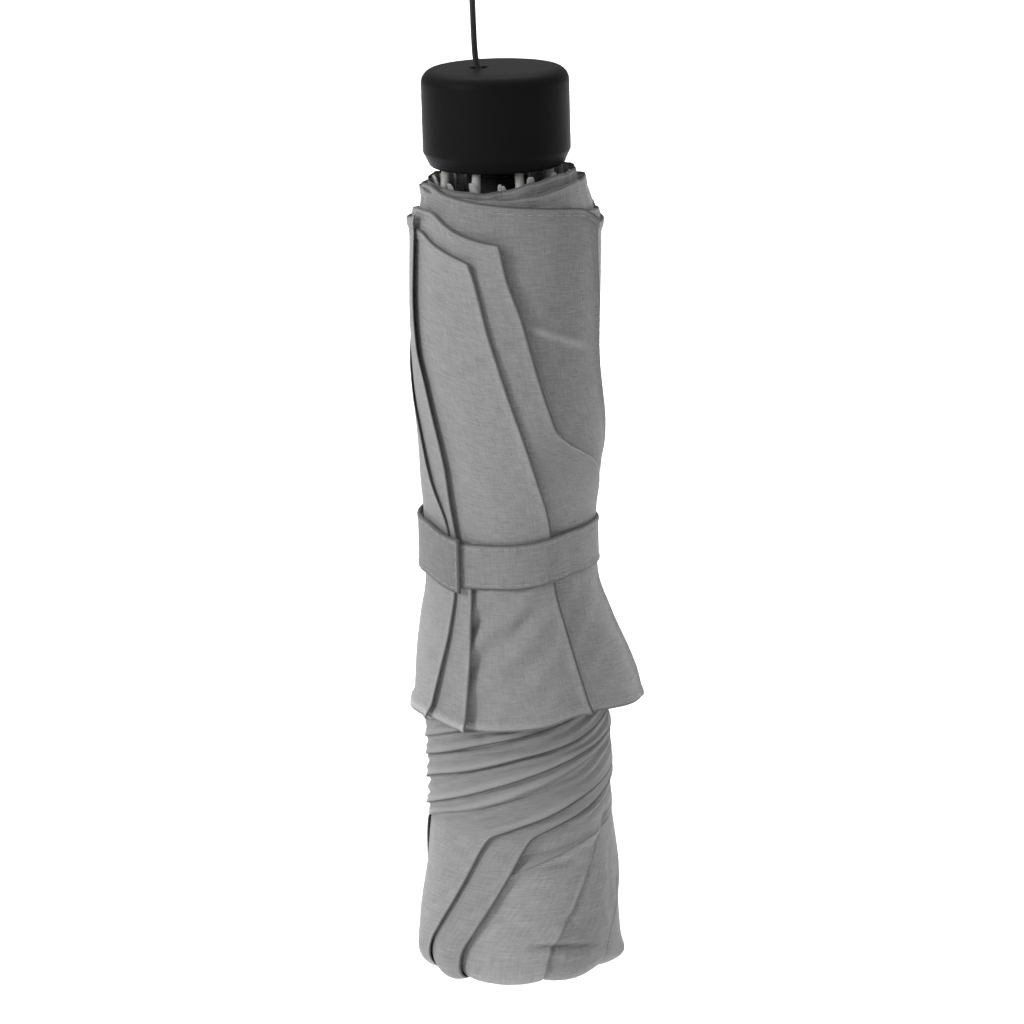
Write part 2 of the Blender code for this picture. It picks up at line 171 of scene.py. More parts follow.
# In mm, by flap: how far the lower corner of its edge flares out, how far its lower hem kicks out, and how
# deep the folds of its slack cloth are. The third table, not in mm, is how strong a painted highlight along
# the lower hem is.
FLARE_CORNER = {"flap_front_under": 5.9}
HEM_KICK = {"flap_left_outer": 1.1, "flap_left": 1.1, "flap_front": 0.35, "flap_front_under": 0.3}
PAINTED_HEM_HIGHLIGHT = {"flap_left_outer": 0.75, "flap_left": 0.75, "flap_front": 0.25}
SLACK_FOLDS = {"flap_front": 1.75, "flap_front_under": 0.45}
# Where an edge lies flat, as (height, share of its usual lift)
FLAT_EDGES = {
    "flap_left_outer": ((-168.2, 1.0), (-146.8, 0.05)),
    "flap_front_under": ((-201.6, 1.0), (-181, 0.1), (-165.3, 0.15), (-156.5, 1.0)),
}
# Along these bare folded edges the painted shade is weaker, as (height, share of the usual painted shade); a
# share below zero makes it a painted highlight.
FOLD_PAINTED_SHADE = {
    "flap_right": ((-240, 0.35), (-100, 0.35)),
    "flap_front_under": ((-195.7, 0.6), (-178, -0.2), (-172.1, -0.7), (-163.4, -0.7), (-158.5, 1.0)),
}
# How strong the painted highlights are along the ridges of the first crease and of the lower bundle's wound
# folds
PAINTED_CREASE_HIGHLIGHT = 0.7
PAINTED_WOUND_HIGHLIGHT = 0.45

# The lower bundle: eight flaps over the ribs' elbows. Each free edge climbs steeply from its elbow and then
# winds round the bundle as a fold. The shared edge is (angle from the elbow, height), and each flap has its
# elbow's angle, how far its edge stands off and how deep the step under it is, both in mm, and its tone.
ELBOW_EDGE = (
    (-6, -317.5), (-3, -306.6), (0, -298.5), (9, -291.3), (20, -282.7), (30, -274.6), (38, -268.1),
    (43, -265.3), (52, -263.7), (83, -259.7), (134, -252.5), (180, -246.7), (230, -241.5), (285, -235.9),
    (345, -228.4),
)
ELBOW_FLAPS = (
    (-152, 0.5, 1.5, 1.0),
    (-126, -0.3, 0.8, 1.01),
    (-60, 0.8, 1.9, 1.02),
    (-35, 0.8, 1.9, 0.96),
    # The paler tone of the flap over the 17 degree elbow, round the bag, is painted light.
    (17, 0.1, 0.9, 1.17),
    (62, 0.3, 1.1, 0.98),
    (110, 0.5, 1.5, 0.98),
    (160, 0.5, 1.5, 1.0),
)
ELBOW_SPAN = 76
BAG_FOLD_EDGE = ((-12, -277), (-4, -275), (30, -269.7), (75, -264.7), (120, -258.2), (160, -252.8))

# Creases pressed into the outer cloth, as the (angle, height) of both ends, a height and a half width in mm
CREASES = (
    ((12, -131), (54, -137.9), 0.95, 0.85),
    ((-6, -274.5), (34, -269.6), 0.6, 1.0),
    ((34, -269.6), (70, -265.3), 0.5, 1.0),
    ((15, -274.2), (36, -272.7), -0.5, 0.9),
    ((68, -262.2), (49, -271.2), -0.5, 1.0),
    ((41, -273.1), (25, -291.6), -0.65, 1.9),
    ((47, -276.2), (32, -292.3), 0.5, 1.7),
    ((18, -296), (14, -306.1), -0.55, 0.7),
    ((26, -287.2), (46, -296.3), -0.7, 1.5),
    ((6, -294.6), (48, -297.3), -1.7, 0.8),
    ((10, -297.1), (47, -299.6), 0.5, 1.0),
    ((52, -281.4), (61, -295.9), 0.45, 1.5),
    ((-4, -284.7), (15, -290.1), 0.4, 2.0),
    ((4, -279.7), (27, -281.6), -0.4, 1.2),
    ((70, -272.3), (64, -288.6), -0.4, 1.3),
    ((-52, -115.5), (-44, -127.1), 0.2, 1.6),
    ((-30, -165.9), (-8, -174), 0.25, 2.2),
    ((34, -118.2), (58, -111.6), 0.22, 2.0),
    ((110, -128.1), (150, -135.5), 0.5, 1.2),
    ((165, -284), (195, -276.4), 0.5, 1.5),
    ((-150, -285.4), (-128, -277), 0.4, 1.6),
    ((210, -146.5), (245, -155.9), 0.35, 1.8),
)
# Places where the cloth stands out, as an angle, a height, both half widths, and mm
LUMPS = (
    (86, -304.8, 13, 3.2, 2.0),
    (-74, -299.6, 12, 4.0, 0.6),
)


def curve(points):
    """A smooth function through (x, y) points that doesn't overshoot, level beyond its ends."""
    points = sorted(points)
    xs, ys = zip(*points)
    steps = [(y1 - y0) / (x1 - x0) for (x0, y0), (x1, y1) in zip(points, points[1:])]
    turns = [2 * a * b / (a + b) if a * b > 0 else 0.0 for a, b in zip(steps, steps[1:])]
    slopes = [steps[0], *turns, steps[-1]]

    def at(x):
        if x <= xs[0]:
            return ys[0]
        if x >= xs[-1]:
            return ys[-1]
        i = bisect(xs, x) - 1
        width = xs[i + 1] - xs[i]
        t = (x - xs[i]) / width
        return (
            (1 + 2 * t) * (1 - t) ** 2 * ys[i]
            + t * (1 - t) ** 2 * width * slopes[i]
            + t * t * (3 - 2 * t) * ys[i + 1]
            - t * t * (1 - t) * width * slopes[i + 1]
        )

    return at


def step(low, high, x):
    """0 before low, 1 past high, and smooth between them."""
    t = min(1.0, max(0.0, (x - low) / (high - low)))
    return t * t * (3 - 2 * t)


def bell(distance, width):
    return math.exp(-((distance / width) ** 2))


def wrapped(angle):
    """The same angle from -180 to 180."""
    return (angle + 180) % 360 - 180


def arc_length(degrees):
    """The length in mm across the cloth that an angle round the bundle spans."""
    return math.radians(degrees) * MEAN_RADIUS


bundle_radius = curve(BUNDLE_RADIUS)
bundle_offset = curve(BUNDLE_OFFSET)
roll_radius = curve(ROLL_RADIUS)
skirt_hem = curve(SKIRT_HEM)


def on_bundle(angle, height, radius):
    """The point at an angle in degrees, a height in mm and a radius in mm round the bundle's middle."""
    turn = math.radians(angle)
    across = bundle_offset(height) + radius * math.sin(turn)
    return Vector((AXIS_X + across * MM, -radius * math.cos(turn) * MM, height * MM))


def outward(angle):
    turn = math.radians(angle)
    return Vector((math.sin(turn), -math.cos(turn), 0))


def crumple(angle, height, size, seed):
    """Even noise from -1 to 1 over the bundle's surface, with size in mm as (across, up)."""
    turn = math.radians(angle)
    right, back = MEAN_RADIUS * math.sin(turn), MEAN_RADIUS * math.cos(turn)
    return noise.noise(Vector((right / size[0], back / size[0], height / size[1] + seed)))


def crease(angle, height, line):
    """What one crease adds at a place, in mm."""
    (angle_0, height_0), (angle_1, height_1), lift, width = line
    across, up = arc_length(angle_1 - angle_0), height_1 - height_0
    away_across, away_up = arc_length(wrapped(angle - angle_0)), height - height_0
    run = across * across + up * up
    share = (away_across * across + away_up * up) / run
    if not -0.3 < share < 1.3:
        return 0.0
    off = (away_up * across - away_across * up) / math.sqrt(run)
    if abs(off) > 3 * width:
        return 0.0
    ends = step(-0.15, 0.25, share) * (1 - step(0.75, 1.15, share))
    return lift * ends * bell(off, width)


def bundle_shape(angle, height):
    """The bundle's own unevenness, which every layer shares, in mm."""
    slack = 0.35 + 0.65 * step(8, 26, abs(height - STRAP_HEIGHT)) + 0.5 * step(-265.5, -280.7, height)
    shape = 0.75 * crumple(angle, height, (22, 46), 3.1) + 0.25 * crumple(angle, height, (7, 18), 9.7)
    shape *= slack
    for line in CREASES:
        shape += crease(angle, height, line)
    for at, up, wide, tall, lift in LUMPS:
        shape += lift * bell(wrapped(angle - at), wide) * bell(height - up, tall)
    return shape


def grid_mesh(name, rows, shades):
    """A sheet from rows of points. Its UVs are lengths along the cloth, and shades give each point's painted
    shade, which below zero is a painted highlight.
    """
    count = len(rows[0])
    faces = [
        (r * count + c, r * count + c + 1, (r + 1) * count + c + 1, (r + 1) * count + c)
        for r in range(len(rows) - 1)
        for c in range(count - 1)
    ]
    mesh = bpy.data.meshes.new(name)
    mesh.from_pydata([point for row in rows for point in row], [], faces)
    across = [0.0]
    for a, b in zip(rows[0], rows[0][1:]):
        across.append(across[-1] + (b - a).length)
    down = [0.0]
    for a, b in zip(rows, rows[1:]):
        down.append(down[-1] + (b[0] - a[0]).length)
    layer = mesh.uv_layers.new(name="UVMap")
    for loop in mesh.loops:
        layer.data[loop.index].uv = (across[loop.vertex_index % count], down[loop.vertex_index // count])
    # The edge attribute carries the painted shade and painted highlight to the cloth's material.
    edge = mesh.attributes.new("edge", "FLOAT", "POINT")
    edge.data.foreach_set("value", [shade for row in shades for shade in row])
    mesh.shade_smooth()
    return mesh


def place_piece(name, mesh, body, material):
    obj = bpy.data.objects.new(name, mesh)
    bpy.context.scene.collection.objects.link(obj)
    mesh.materials.append(material)
    if body:
        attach(obj, body)
    return obj


def cloth_piece(name, rows, shades, material, body="canopy_bundle", thickness=CLOTH_THICKNESS):
    """A sheet of cloth with its thickness."""
    obj = place_piece(name, grid_mesh(name, rows, shades), body, material)
    solidify = obj.modifiers.new("thickness", "SOLIDIFY")
    solidify.thickness = thickness
    solidify.offset = 0
    return obj


def declare_sheet(obj, rows):
    """Works out how large the cloth is: its mean width and length, and its area, as its cut isn't a
    rectangle, but keeps none of it.
    """

    def mean_length(lines):
        return sum((b - a).length for line in lines for a, b in zip(line, line[1:])) / len(lines)

    width, length = mean_length(rows), mean_length(list(zip(*rows)))
    area = sum(face.area for face in obj.data.polygons)
    area = min(width * length, max(0.3 * width * length, area))


def spaced(length, near, far, start=True, end=True):
    """Shares from 0 to 1 of a length, near apart at both ends or at one of them, and at most far apart."""

    def run(total):
        places, gap = [0.0], near
        while places[-1] < total:
            places.append(places[-1] + gap)
            gap = min(far, gap * 1.16)
        return [place * total / places[-1] for place in places]

    if not end:
        return [place / length for place in run(length)]
    if not start:
        return [1 - place / length for place in reversed(run(length))]
    half = [place / length for place in run(length / 2)]
    return half + [1 - share for share in reversed(half[:-1])]


# ---------------------------------------------------------------- materials


class Graph:
    """A new material's node graph. An input is a plain value or another node's output."""

    def __init__(self, name):
        self.material = bpy.data.materials.new(name)
        self.material.use_nodes = True
        self.tree = self.material.node_tree

    def fill(self, node, inputs):
        for key, value in inputs.items():
            if isinstance(value, bpy.types.NodeSocket):
                self.tree.links.new(value, node.inputs[key])
            else:
                node.inputs[key].default_value = value

    def add(self, kind, inputs, **settings):
        """A new node's outputs."""
        node = self.tree.nodes.new(kind)
        for key, value in settings.items():
            setattr(node, key, value)
        self.fill(node, inputs)
        return node.outputs

    def place(self):
        return self.add("ShaderNodeTexCoord", {})["Object"]

    def maths(self, operation, *values):
        return self.add("ShaderNodeMath", dict(enumerate(values)), operation=operation)[0]

    def wave(self, run, pitch):
        """A sine wave along a length in metres."""
        return self.maths("SINE", self.maths("MULTIPLY", run, 2 * math.pi / pitch))

    def mix(self, factor, first, second):
        """A mix of two colours."""
        inputs = {"Factor": factor, "A": first, "B": second}
        return self.add("ShaderNodeMix", inputs, data_type="RGBA")["Result"]

    def noise(self, place, scale, detail, roughness=0.5):
        inputs = {"Vector": place, "Scale": scale, "Detail": detail, "Roughness": roughness}
        return self.add("ShaderNodeTexNoise", inputs)[0]

    def stretched(self, place, scale):
        return self.add("ShaderNodeMapping", {"Vector": place, "Scale": scale})[0]

    def ranged(self, value, low, high):
        """A value from 0 to 1, carried over to the range from low to high."""
        return self.add("ShaderNodeMapRange", {"Value": value, "To Min": low, "To Max": high})[0]

    def bump(self, height, strength, distance, **under):
        """A normal that follows a height. under can name the Normal that it is added to."""
        inputs = {"Height": height, "Strength": strength, "Distance": distance, **under}
        return self.add("ShaderNodeBump", inputs)[0]

    def surface(self, inputs):
        """Sets the shader's inputs, which finishes the material."""
        self.fill(self.tree.nodes["Principled BSDF"], inputs)
        return self.material


def tinted(colour, *factors):
    """A colour's RGBA, scaled by every factor."""
    return (*(math.prod((part, *factors)) for part in colour), 1)


def thread_streaks(graph, uv, along, across):
    """Uneven threads: noise drawn out along one direction of the cloth, with its cells' lengths in metres."""
    streaks = graph.noise(graph.stretched(uv, (1 / along, 1 / across, 1.0)), 1.0, 2.0)
    return graph.maths("SUBTRACT", streaks, 0.5)


def cloth_material(name, colour, tone=1.0):
    """Plain-woven cloth: crossing threads of uneven thickness, soft creases, and painted shade and painted
    highlights at edges, hems and folds.
    """
    graph = Graph(name)
    uv = graph.add("ShaderNodeUVMap", {}, uv_map="UVMap")[0]
    across, down, _ = graph.add("ShaderNodeSeparateXYZ", {0: uv})
    weave = graph.maths("MULTIPLY", graph.wave(across, THREAD_PITCH), graph.wave(down, THREAD_PITCH))
    weft = thread_streaks(graph, uv, SLUB_LENGTH, SLUB_WIDTH)
    warp = thread_streaks(graph, uv, SLUB_WIDTH, SLUB_LENGTH)
    threads = graph.maths("ADD", graph.maths("MULTIPLY", weft, 1.3), warp)
    place = graph.place()
    clouds = graph.noise(place, 38.0, 4.0, 0.55)
    rumple = graph.noise(place, 150.0, 3.0)

    shade = graph.maths("MULTIPLY", graph.maths("SUBTRACT", clouds, 0.5), 0.5)
    shade = graph.maths("ADD", shade, graph.maths("MULTIPLY", threads, 0.85))
    shade = graph.maths("ADD", shade, graph.maths("MULTIPLY", weave, 0.12))
    shade = graph.maths("ADD", shade, 0.5)
    base = graph.mix(shade, tinted(colour, tone, 0.72), tinted(colour, tone, 1.28))
    # The edge attribute paints shade on the cloth where it is above zero, and a highlight where it is below
    # zero.
    edge = graph.add("ShaderNodeAttribute", {}, attribute_name="edge")["Fac"]
    base = graph.mix(edge, base, tinted(colour, tone, PAINTED_SHADE_TONE))
    base = graph.mix(graph.maths("MULTIPLY", edge, -1.0), base, tinted(colour, tone, PAINTED_HIGHLIGHT_TONE))

    soft = graph.bump(rumple, 0.5, 0.0008)
    slubs = graph.bump(threads, 0.6, 0.00022, Normal=soft)
    crossings = graph.bump(weave, 0.4, 0.00006, Normal=slubs)
    return graph.surface({
        "Base Color": base,
        "Normal": crossings,
        "Roughness": 0.74,
        "Sheen Weight": 0.18,
        "Sheen Roughness": 0.45,
        "Specular IOR Level": 0.35,
    })


def moulded_material(name, colour, roughness, gloss=0.5, grain=0.25):
    """Moulded plastic with a fine spark grain and faint handling marks."""
    graph = Graph(name)
    place = graph.place()
    spark = graph.noise(place, 1400.0, 2.0)
    marks = graph.noise(place, 55.0, 5.0, 0.65)
    pale = (*(part * (1 + MARK_CONTRAST) + MARK_HAZE for part in colour), 1)
    return graph.surface({
        "Base Color": graph.mix(marks, tinted(colour, 1 - MARK_CONTRAST), pale),
        "Roughness": graph.ranged(marks, roughness - 0.06, roughness + 0.08),
        "Specular IOR Level": gloss,
        "Normal": graph.bump(spark, grain, 0.00008),
    })


def metal_material(name, colour, roughness):
    """Drawn steel: fine streaks along the shaft, and faint smudges."""
    graph = Graph(name)
    place = graph.place()
    streaks = graph.noise(graph.stretched(place, (1.0, 1.0, 0.02)), 2600.0, 3.0)
    smudge = graph.noise(place, 70.0, 4.0)
    return graph.surface({
        "Base Color": graph.mix(streaks, tinted(colour, 0.88), tinted(colour, 1.08)),
        "Metallic": 1.0,
        "Roughness": graph.ranged(smudge, roughness - 0.08, roughness + 0.12),
        "Normal": graph.bump(streaks, 0.12, 0.00003),
    })


def cord_material(name, colour):
    """Round braid: two sets of strands that cross on the cord's surface."""
    graph = Graph(name)
    x, y, up = graph.add("ShaderNodeSeparateXYZ", {0: graph.place()})
    across = graph.maths("ADD", x, y)
    strands = [graph.wave(graph.maths(way, up, across), BRAID_PITCH) for way in ("ADD", "SUBTRACT")]
    braid = graph.maths("MULTIPLY", *strands)
    share = graph.add("ShaderNodeMapRange", {"Value": braid, "From Min": -1.0})[0]
    return graph.surface({
        "Base Color": graph.mix(share, tinted(colour, 0.6), tinted(colour, 1.6)),
        "Roughness": 0.62,
        "Sheen Weight": 0.15,
        "Normal": graph.bump(braid, 0.6, 0.00012),
    })


# ---------------------------------------------------------------- stage


def add_camera():
    target = Vector((AXIS_X + FRAMED_OFFSET_X, 0, FRAMED_CENTRE_Z))
    back = Vector((0, -math.cos(CAMERA_PITCH), math.sin(CAMERA_PITCH)))
    data = bpy.data.cameras.new("camera")
    data.sensor_width = SENSOR * 1000
    data.lens = SENSOR * 1000 * CAMERA_DISTANCE / FRAMED_HEIGHT
    camera = bpy.data.objects.new("camera", data)
    bpy.context.scene.collection.objects.link(camera)
    camera.location = target + back * CAMERA_DISTANCE
    camera.rotation_mode = "QUATERNION"
    look = (-back).to_track_quat("-Z", "Y")
    camera.rotation_quaternion = look @ Quaternion((0, 0, 1), -CAMERA_ROLL)
    bpy.context.scene.camera = camera


def add_area_light(name, place, size, power, aim=(0.006, 0, -0.19), spread=180):
    data = bpy.data.lights.new(name, "AREA")
    data.spread = math.radians(spread)
    data.shape = "RECTANGLE"
    data.size, data.size_y = size
    data.energy = power
    light = bpy.data.objects.new(name, data)
    bpy.context.scene.collection.objects.link(light)
    light.location = place
    light.rotation_mode = "QUATERNION"
    light.rotation_quaternion = (Vector(aim) - Vector(place)).to_track_quat("-Z", "Y")


def add_stage():
    """A pale floor far below the umbrella, soft lights from the left and above, and a pale surround."""
    mesh = bpy.data.meshes.new("floor")
    half = 14.0
    mesh.from_pydata(
        [(-half, -half, FLOOR_Z), (half, -half, FLOOR_Z), (half, half, FLOOR_Z), (-half, half, FLOOR_Z)],
        [],
        [(0, 1, 2, 3)],
    )
    floor = bpy.data.objects.new("floor", mesh)
    bpy.context.scene.collection.objects.link(floor)
    mesh.materials.append(Graph("floor").surface({"Base Color": (0.86, 0.86, 0.86, 1), "Roughness": 0.9}))

    world = bpy.data.worlds.new("studio")
    bpy.context.scene.world = world
    world.use_nodes = True
    background = world.node_tree.nodes["Background"]
    background.inputs["Color"].default_value = (1.0, 1.0, 1.0, 1)
    background.inputs["Strength"].default_value = 0.37
    add_area_light("key", (-1.45, -0.98, 0.6), (0.4, 0.9), 13.2)
    add_area_light("top", (-0.1, -0.35, 1.3), (0.6, 0.6), 1.5)
    add_area_light("floor_light", (0, 2.6, 2.2), (5.0, 4.0), 170, aim=(0, 2.7, -0.62), spread=100)
    bpy.context.scene.view_settings.view_transform = "Standard"


# ---------------------------------------------------------------- wrist cord

FRONT_STRAND = (
    (0.0022, -0.0012, -0.0712),
    (0.0020, -0.0012, -0.0684),
    (0.0013, -0.0013, -0.0660),
    (0.0010, -0.0015, -0.0610),
    (0.0008, -0.0020, -0.0480),
    (0.0005, -0.0026, -0.0320),
    (0.0002, -0.0031, -0.0160),
    (0.0000, -0.0034, -0.0034),
    (0.0000, -0.0024, -0.0010),
)
LOOP_TOP = (0.0, 0.0, 0.0)
CORD_DIAMETER = 0.0015
CORD_STEP = 0.0006


def smooth_route(route, spacing):
    """Points about a spacing apart on a smooth curve through the route's points."""
    ends = [route[0], *route, route[-1]]
    points = []
    for before, start, end, after in zip(ends, ends[1:], ends[2:], ends[3:]):
        reach = (end - start).length / 3
        leave = start + (end - before).normalized() * reach
        arrive = end - (after - start).normalized() * reach
        count = max(1, round((end - start).length / spacing))
        points += interpolate_bezier(start, leave, arrive, end, count + 1)[:-1]
    return [*points, route[-1]]


def make_cord(material):
    back = [(x, -y, z) for x, y, z in reversed(FRONT_STRAND)]
    route = [Vector(point) for point in (*FRONT_STRAND, LOOP_TOP, *back)]
    points = smooth_route(route, CORD_STEP)
    braid = bpy.data.curves.new("wrist_cord_braid", "CURVE")
    braid.dimensions = "3D"
    braid.bevel_depth = CORD_DIAMETER / 2
    braid.bevel_resolution = 4
    braid.use_fill_caps = True
    spline = braid.splines.new("POLY")
    spline.points.add(len(points) - 1)
    for target, point in zip(spline.points, points):
        target.co = (*point, 1)
    braid.materials.append(material)
    cord = bpy.data.objects.new("wrist_cord_braid", braid)
    bpy.context.scene.collection.objects.link(cord)
    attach(cord, "handle")
    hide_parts("wrist_cord")
    length = sum((b - a).length for a, b in zip(points, points[1:]))
    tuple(FRONT_STRAND[1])


# ---------------------------------------------------------------- handle

HANDLE_SIDES = 128
EDGE_ROUND = 0.0036
FLAT_RADIUS = 0.0142
CUP_WALL = 0.0022
MOUTH_RADIUS = 0.0160
HOLE_RADIUS = 0.0026


def ring(centre_x, radius, height):
    """A level ring of points, in metres."""
    return [
        Vector((centre_x + radius * math.cos(turn), radius * math.sin(turn), height))
        for turn in np.linspace(0, 2 * math.pi, HANDLE_SIDES, endpoint=False)
    ]


def ring_piece(name, rings, material):
    """A part of the handle: a skin through rings of points."""
    sides = HANDLE_SIDES
    vertices = [point for row in rings for point in row]
    faces = [
        (r * sides + c, (r + 1) * sides + c, (r + 1) * sides + (c + 1) % sides, r * sides + (c + 1) % sides)
        for r in range(len(rings) - 1)
        for c in range(sides)
    ]
    mesh = bpy.data.meshes.new(name)
    mesh.from_pydata(vertices, [], faces)
    mesh.shade_smooth()
    return place_piece(name, mesh, "handle", material)


def arc(centre, radius, start, end, count):
    """Points of an arc, as (radius, height), from a start to an end angle in degrees."""
    return [
        (centre[0] + radius * math.cos(t), centre[1] + radius * math.sin(t))
        for t in np.radians(np.linspace(start, end, count))
    ]


def make_handle(material):
    """The cup, with a round upper edge and a chamfered mouth, and its flat end with the cord's hole."""
    low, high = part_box("handle_shell")
    radius = (high.x - low.x) / 2 - 0.00005
    top, bottom = high.z, low.z
    profile = [
        (FLAT_RADIUS, top),
        *arc((radius - EDGE_ROUND, top - EDGE_ROUND), EDGE_ROUND, 88, 2, 12),
        (radius, top - 0.008),
        (radius, bottom + 0.0056),
        *arc((radius - 0.0016, bottom + 0.0042), 0.0016, 0, -40, 5),
        *arc((radius - 0.0026, bottom + 0.0012), 0.0012, -30, -90, 5),
        (MOUTH_RADIUS + 0.0003, bottom),
        (MOUTH_RADIUS, bottom + 0.0004),
        (MOUTH_RADIUS, top - CUP_WALL - 0.001),
        (MOUTH_RADIUS - 0.001, top - CUP_WALL),
    ]
    shell = ring_piece("handle_cup", [ring(AXIS_X, reach, height) for reach, height in profile], material)
    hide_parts("handle_shell")

    # The end goes from the round edge in to the hole, and down through it
    hole_x = FRONT_STRAND[1][0]
    lip = [ring(hole_x, HOLE_RADIUS - 0.0003, top - drop) for drop in (CUP_WALL, 0.0004)]
    inner = ring(hole_x, HOLE_RADIUS, top)
    outer = ring(AXIS_X, FLAT_RADIUS, top)
    flat = [[a.lerp(b, share) for a, b in zip(inner, outer)] for share in np.linspace(0, 1, 14)]
    ring_piece("handle_end", [*lip, *flat][::-1], material)


# ---------------------------------------------------------------- cloth


def hem_lift(distance):
    """A hem's doubled cloth, by the distance from its edge in mm: a fold, and a groove where it is sewn."""
    fold = 0.34 * (1 - step(HEM_WIDTH - 0.35, HEM_WIDTH + 0.35, distance))
    return fold - 0.22 * bell(distance - HEM_WIDTH + 0.5, 0.3)


def painted_edge_shade(distance):
    """How strong the painted shade is at a folded edge, by the distance from it in mm."""
    return 1 - step(0.25, 0.75, distance)


class UpperFlap:
    """One flap of the upper bundle. u goes from its hidden root to its free edge, v from top to bottom."""

    def __init__(self, name, design):
        even = ((-240, 1.0), (-100, 1.0))
        flat = FLAT_EDGES.get(name, even)
        self.edge = curve(design["edge"])
        self.hem = curve(design["hem"])
        self.span = design["span"]
        self.corner = FLARE_CORNER.get(name, 0.0)
        self.kick = HEM_KICK.get(name, 0.2)
        # How strong the painted highlight along the lower hem is
        self.light = PAINTED_HEM_HIGHLIGHT.get(name, 0.0)
        self.lift = curve(flat)
        # How strong the painted shade along the free edge is, by height
        self.dark = curve(FOLD_PAINTED_SHADE.get(name, flat))
        self.slack = SLACK_FOLDS.get(name, 0.0)

    def place(self, u, v):
        """The angle and height at u and v, with the free edge's angle and the two hems' heights there."""
        back = self.span * (1 - u)
        angle = self.edge(FLAP_TOP - FLAP_LENGTH * v) - back
        top = self.hem(angle)
        bottom = skirt_hem(wrapped(angle))
        height = top + (bottom - top) * v
        free = self.edge(height)
        return free - back, height, free, top, bottom

    def radius(self, angle, height, free, top, bottom):
        back = max(0.0, free - angle)
        base = bundle_radius(height) + bundle_shape(angle, height)
        from_edge = math.radians(back) * base
        radius = base + 0.45 - 0.95 * (back / 45) ** 0.78
        radius += hem_lift(top - height) + 0.8 * hem_lift(height - bottom)
        radius += 0.35 * (1 - step(0, 5, top - height))
        lower = step(-202.0, -235.6, height)
        lift = (1 - bell(height - STRAP_HEIGHT, 9)) * self.lift(height)
        radius += (0.68 + 0.2 * lower) * lift * bell(from_edge, 1.5) + 0.30 * lower * bell(from_edge, 5)
        radius += self.kick * (1 - step(0, 4.5, height - bottom))
        radius += self.corner * step(-199.0, -236.2, height) ** 1.15 * bell(from_edge, 13)
        if self.slack:
            slant = 0.77 * height - 0.64 * arc_length(angle)
            wave = math.sin(slant / 1.35 + 1.1 * crumple(angle, height, (9, 14), 6.0))
            near = bell(height - SLACK_HEIGHT, 13) * step(1.5, 8, from_edge)
            radius += self.slack * near * wave * (0.6 + 0.8 * crumple(angle, height, (14, 14), 2.0))
        return radius

    def point(self, u, v):
        angle, height, free, top, bottom = self.place(u, v)
        return on_bundle(angle, height, self.radius(angle, height, free, top, bottom))

    def shade(self, u, v):
        # Painted shade at the free edge and hems, less painted highlights along the lower hem and the first
        # crease's ridge
        angle, height, free, top, bottom = self.place(u, v)
        side = painted_edge_shade(arc_length(free - angle)) * self.dark(height)
        hems = max(painted_edge_shade(top - height), 0.7 * painted_edge_shade(height - bottom))
        shade = max(side, hems) if side > 0 else side + hems
        pale = self.light * (1 - step(1.7, 2.5, height - bottom))
        pale += PAINTED_CREASE_HIGHLIGHT * max(0, crease(angle, height, CREASES[0]))
        return shade - pale * (1 - max(0, shade))


def unshaded(rows):
    """Shades for rows of points that no edge darkens."""
    return [[0.0] * len(row) for row in rows]


def add_stitch(vertices, faces, start, end, out):
    """One stitch: a low thread between two points, which dips into the cloth at both ends."""
    half = STITCH_HALF_WIDTH
    side = (end - start).normalized().cross(out).normalized() * half
    base = len(vertices)
    for share, lift in ((0.0, -0.6), (0.22, 0.7), (0.78, 0.7), (1.0, -0.6)):
        centre = start.lerp(end, share) + out * half * lift
        vertices.extend((centre - side, centre + out * half * 0.8, centre + side))
    for row in range(3):
        a = base + 3 * row
        faces.extend(((a, a + 3, a + 4, a + 1), (a + 1, a + 4, a + 5, a + 2)))


def stitch_piece(name, stitches, body):
    """All the stitches of one sheet, from (start, end, outward) of each."""
    vertices, faces = [], []
    for start, end, out in stitches:
        add_stitch(vertices, faces, start, end, out)
    mesh = bpy.data.meshes.new(name)
    mesh.from_pydata(vertices, [], faces)
    mesh.shade_smooth()
    return place_piece(name, mesh, body, thread)


def flap_stitches(flap):
    """The stitches along the visible part of a flap's two hems."""
    inset = HEM_WIDTH - 0.5
    visible = 34
    pitch, length = STITCH_PITCH / MM, STITCH_LENGTH / MM
    for at_top in (True, False):
        x = 1.2
        while x < visible:
            ends = []
            for at in (x, x + length):
                u = 1 - math.degrees(at / MEAN_RADIUS) / flap.span
                _, _, _, top, bottom = flap.place(u, 0.0 if at_top else 1.0)
                share = inset / (top - bottom)
                v = share if at_top else 1 - share
                ends.append((flap.point(u, v), outward(flap.place(u, v)[0])))
            (start, out), (end, _) = ends
            lift = out * 0.00021
            yield start + lift, end + lift, out
            x += pitch


def make_upper_flap(name, material):
    flap = UpperFlap(name, UPPER_FLAPS[name])
    us, vs = spaced(arc_length(flap.span), 0.14, 0.9, start=False), spaced(131, 0.16, 0.85)
    grid = [[flap.point(u, v) for u in us] for v in vs]
    shades = [[flap.shade(u, v) for u in us] for v in vs]
    obj = cloth_piece(name, grid, shades, material)
    stitches = stitch_piece(name + "_stitches", flap_stitches(flap), "canopy_bundle")
    declare_sheet(obj, grid)


def meridian(down):
    """(radius, height) where the surface has run this many mm down, and on round the corner at the crown."""
    turn_at, bend = 301.0, 5.5
    if down <= turn_at:
        return roll_radius(-down), -down
    side = roll_radius(-turn_at)
    angle = (down - turn_at) / bend
    if angle <= math.pi / 2:
        return side - bend * (1 - math.cos(angle)), -turn_at - bend * math.sin(angle)
    past = (down - turn_at) - bend * math.pi / 2
    return side - bend - past, -turn_at - bend + 0.12 * past


